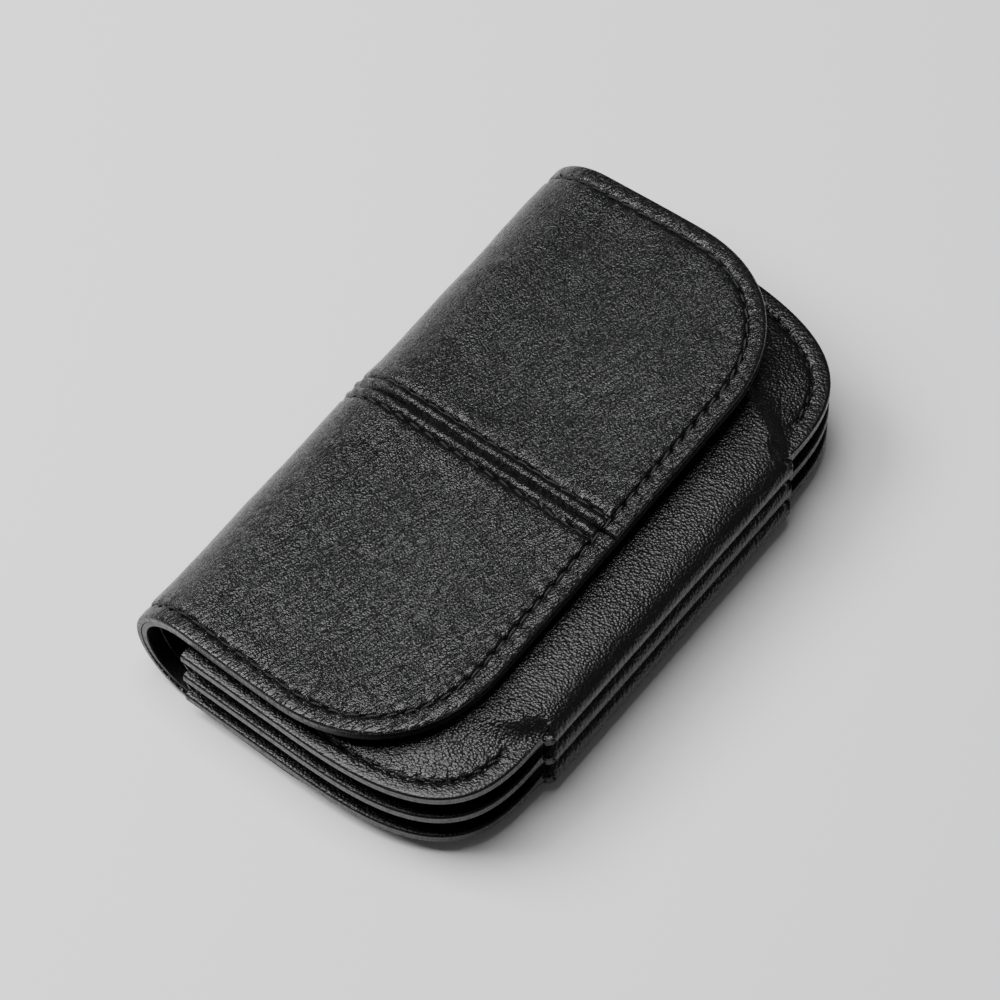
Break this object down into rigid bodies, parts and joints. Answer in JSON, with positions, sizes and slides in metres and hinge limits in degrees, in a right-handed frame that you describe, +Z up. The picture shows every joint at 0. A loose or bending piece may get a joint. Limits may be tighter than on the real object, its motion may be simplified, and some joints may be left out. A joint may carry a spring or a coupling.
{
  "type": "card holder",
  "caption": "Folding leather card holder: a cover with a curled spine and a lift-up flap round an accordion of card pockets with sewn round corners.",
  "frame": {"origin": "middle of the underside, where the back panel lies on the table", "axes": "+Y along the long sides, +X from the curled spine to the folded pocket ends, +Z up through the closed flap"},
  "size_m": [0.066, 0.11, 0.0252],
  "materials": {
    "grained_leather": "black pebbled leather with long creases, semi-matte, on the cover's outside",
    "smooth_leather": "black fine-grained leather with a soft sparkle, on the pockets",
    "lining_leather": "black split-leather lining with painted edges",
    "thread": "black waxed polyester thread",
    "interlining": "grey felt, hidden between leather and lining"
  },
  "bodies": {
    "back": {"back_leather_left": "grained_leather", "back_leather_right": "grained_leather", "back_edge_thread": "thread", "back_seam_thread_left": "thread", "back_seam_thread_right": "thread", "spine_lining": "lining_leather", "pocket_c_lower_sheet": "smooth_leather", "pocket_c_upper_sheet": "smooth_leather", "pocket_c_fold": "smooth_leather", "pocket_c_border_left": "smooth_leather", "pocket_c_border_right": "smooth_leather", "pocket_c_thread_left": "thread", "pocket_c_thread_right": "thread", "valley_fold_b": "smooth_leather"},
    "middle_pocket": {"pocket_b_lower_sheet": "smooth_leather", "pocket_b_upper_sheet": "smooth_leather", "pocket_b_fold": "smooth_leather", "pocket_b_border_left": "smooth_leather", "pocket_b_border_right": "smooth_leather", "pocket_b_thread_left": "thread", "pocket_b_thread_right": "thread", "valley_fold_a": "smooth_leather"},
    "top_pocket": {"pocket_a_lower_sheet": "smooth_leather", "pocket_a_upper_sheet": "smooth_leather", "pocket_a_fold": "smooth_leather", "pocket_a_border_left": "smooth_leather", "pocket_a_border_right": "smooth_leather", "pocket_a_thread_left": "thread", "pocket_a_thread_right": "thread"},
    "flap": {"flap_leather_left": "grained_leather", "flap_leather_right": "grained_leather", "flap_lining": "lining_leather", "flap_interlining": "interlining", "flap_edge_thread": "thread", "flap_seam_thread_left": "thread", "flap_seam_thread_right": "thread"}
  },
  "joints": [
    {"name": "flap_hinge", "type": "hinge", "parent": "back", "child": "flap", "pos_m": [-0.033, 0, 0.01145], "axis": [0, -1, 0], "range_deg": [0, 175]},
    {"name": "middle_pocket_hinge", "type": "hinge", "parent": "back", "child": "middle_pocket", "pos_m": [-0.0226, 0, 0.0075], "axis": [0, -1, 0], "range_deg": [0, 22]},
    {"name": "top_pocket_hinge", "type": "hinge", "parent": "middle_pocket", "child": "top_pocket", "pos_m": [-0.0226, 0, 0.0139], "axis": [0, -1, 0], "range_deg": [0, 22]}
  ],
  "couplings": [
    {"joint": "middle_pocket_hinge", "follows": "flap_hinge", "ratio": 0.12},
    {"joint": "top_pocket_hinge", "follows": "flap_hinge", "ratio": 0.12}
  ]
}
